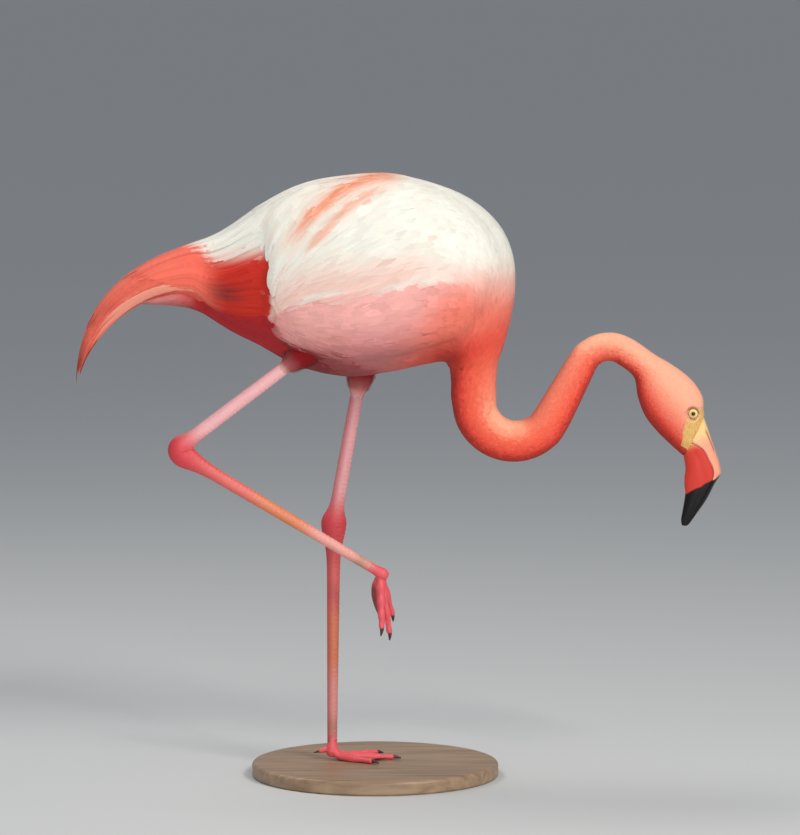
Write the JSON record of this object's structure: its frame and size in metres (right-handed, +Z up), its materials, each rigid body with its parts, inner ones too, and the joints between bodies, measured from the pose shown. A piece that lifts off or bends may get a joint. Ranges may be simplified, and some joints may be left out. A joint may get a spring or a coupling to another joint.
{
  "type": "flamingo model",
  "caption": "Life-size standing American flamingo in a feeding pose, one foot lifted and its neck and bill lowered, on a round wooden base.",
  "frame": {"origin": "on the floor under the middle of the bird's length, on the line through the base's middle", "axes": "+X the way the bird faces, +Y the bird's left, +Z up"},
  "size_m": [0.7288, 0.28, 0.6831],
  "materials": {
    "plumage_white": "matt white to blush-pink contour feathers",
    "plumage_pink": "matt pink wing coverts",
    "plumage_coral": "matt orange-coral neck and head feathers",
    "plumage_red": "matt rose-red plumes and tail",
    "bill": "satin horn, coral red with a black tip",
    "eye": "wet gloss, pale yellow iris",
    "leg_skin": "scaled pink-red skin",
    "claw": "satin dark horn",
    "stand_wood": "satin oiled wood"
  },
  "bodies": {
    "root": {"ankle_left": "leg_skin", "ankle_right": "leg_skin", "bill_lower": "bill", "bill_upper": "bill", "claw_hind_left": "claw", "claw_hind_right": "claw", "claw_inner_left": "claw", "claw_inner_right": "claw", "claw_middle_left": "claw", "claw_middle_right": "claw", "claw_outer_left": "claw", "claw_outer_right": "claw", "eye_left": "eye", "eye_right": "eye", "foot_left": "leg_skin", "foot_right": "leg_skin", "head": "plumage_coral", "neck_base": "plumage_coral", "neck_middle": "plumage_coral", "neck_top": "plumage_coral", "plumes_left": "plumage_red", "plumes_right": "plumage_red", "shank_left": "leg_skin", "shank_right": "leg_skin", "tail": "plumage_red", "tarsus_left": "leg_skin", "tarsus_right": "leg_skin", "thigh_left": "plumage_white", "thigh_right": "plumage_white", "trunk": "plumage_white", "wing_left": "plumage_pink", "wing_right": "plumage_pink", "stand_base": "stand_wood"}
  },
  "joints": []
}
